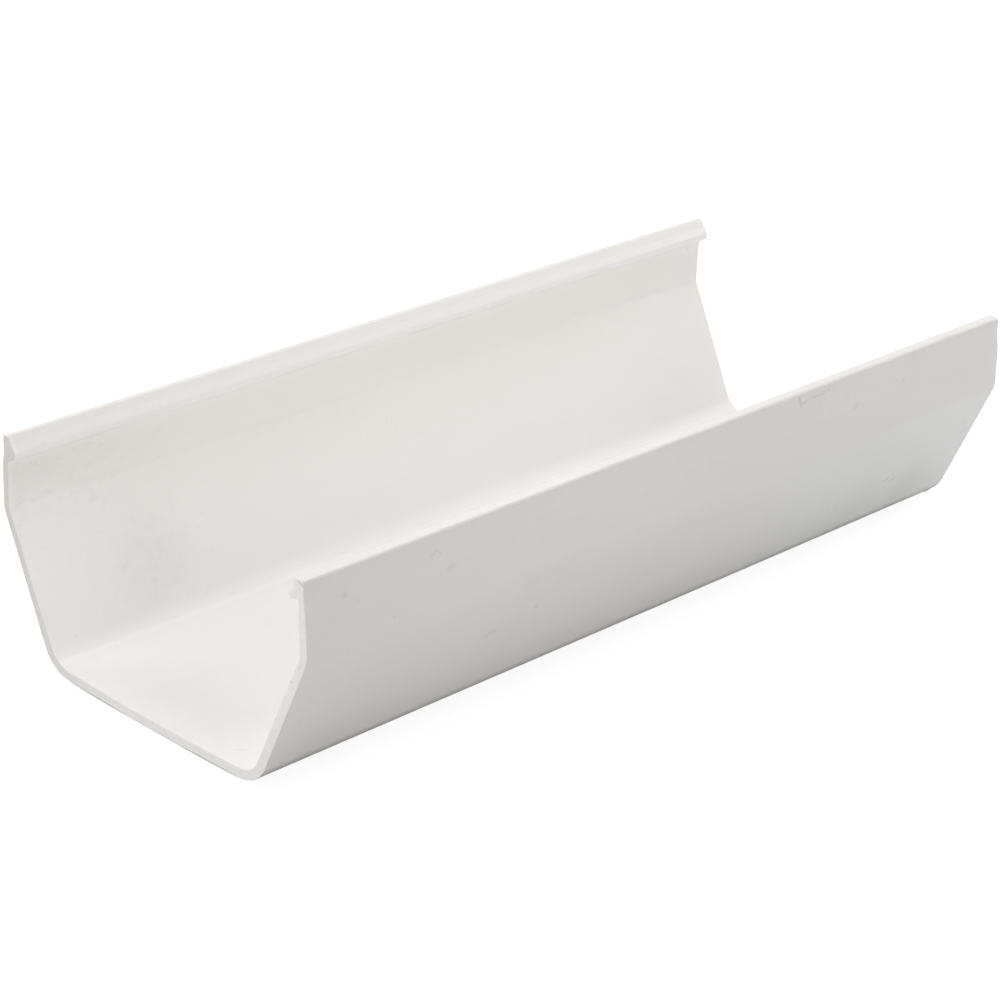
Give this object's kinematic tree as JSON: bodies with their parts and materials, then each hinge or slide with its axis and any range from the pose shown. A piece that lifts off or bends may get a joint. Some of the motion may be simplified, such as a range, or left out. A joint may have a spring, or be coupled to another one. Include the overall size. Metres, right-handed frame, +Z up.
{
  "type": "gutter section",
  "caption": "Short length of square-line rainwater gutter: an open trough with slanted walls, upright rims and inturned lips for bracket clips.",
  "frame": {"origin": "on the underside of the base, midway along the length and across the width", "axes": "+X along the gutter, -Y towards the front (street) wall with the hooked lip, +Y towards the back wall with the plain lip, +Z up"},
  "size_m": [0.2536, 0.114, 0.0595],
  "materials": {
    "pvc": "satin white extruded rigid PVC"
  },
  "bodies": {
    "root": {"gutter_section": "pvc"}
  },
  "joints": []
}
